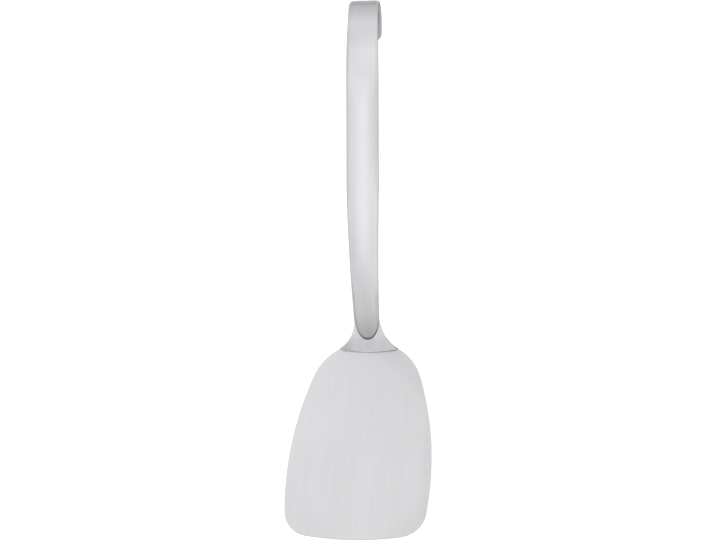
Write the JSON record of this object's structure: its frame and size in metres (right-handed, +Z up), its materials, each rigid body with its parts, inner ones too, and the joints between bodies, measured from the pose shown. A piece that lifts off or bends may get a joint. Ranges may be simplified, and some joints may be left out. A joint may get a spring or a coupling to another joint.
{
  "type": "flexible spatula",
  "caption": "Stainless steel flexible spatula: crowned strip handle with a folded hanging hook, fishtail neck plate, and a broad thin spring blade that flexes and springs back.",
  "frame": {"origin": "on the table, under the middle of the object's box, as it lies on its heel and hook with the working side up", "axes": "+Z up from the table, +Y from the blade towards the hook, +X to the right of someone who looks along +Y"},
  "size_m": [0.0896, 0.331, 0.0597],
  "materials": {
    "handle_steel": "satin",
    "neck_steel": "satin",
    "blade_steel": "brushed along the length",
    "weld_steel": "as welded"
  },
  "bodies": {
    "handle": {"handle": "handle_steel", "neck_plate": "neck_steel", "blade_tang": "blade_steel", "tongue_weld_upper": "weld_steel", "tongue_weld_lower": "weld_steel", "tang_weld_upper": "weld_steel", "tang_weld_lower": "weld_steel", "tang_weld_left": "weld_steel", "tang_weld_right": "weld_steel"},
    "blade": {"blade": "blade_steel"}
  },
  "joints": [
    {"name": "blade_flex", "type": "hinge", "parent": "handle", "child": "blade", "pos_m": [0, -0.05493, 0.00049], "axis": [-1, 0, 0], "range_deg": [-20, 20], "stiffness_Nm_per_rad": 9.4}
  ]
}
